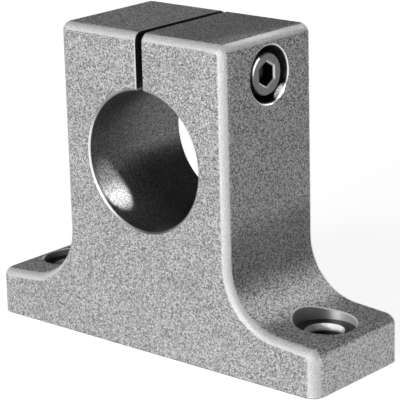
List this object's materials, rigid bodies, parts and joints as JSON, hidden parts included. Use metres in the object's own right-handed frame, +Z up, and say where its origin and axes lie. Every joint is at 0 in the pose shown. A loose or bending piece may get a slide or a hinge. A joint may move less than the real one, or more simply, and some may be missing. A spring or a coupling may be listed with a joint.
{
  "type": "shaft support block",
  "caption": "Cast block on two bolted feet that clamps a round shaft in a split bore, drawn closed by a socket head screw across the top.",
  "frame": {"origin": "centre of the base, on the surface that the block stands on", "axes": "+X along the base towards the clamp screw's head, +Y along the shaft bore, +Z up"},
  "size_m": [0.0946, 0.0306, 0.0732],
  "materials": {
    "cast_iron_body": "grey cast surface, finely blasted, with machined bore, holes and spot faces",
    "screw_steel": "plain turned alloy steel"
  },
  "bodies": {
    "block": {"support_block": "cast_iron_body"},
    "screw": {"clamp_screw": "screw_steel"}
  },
  "joints": [
    {"name": "clamp_screw_turn", "type": "hinge", "parent": "block", "child": "screw", "pos_m": [0.01682, 0, 0.06425], "axis": [1, 0, 0], "range_deg": [0, 360]}
  ]
}
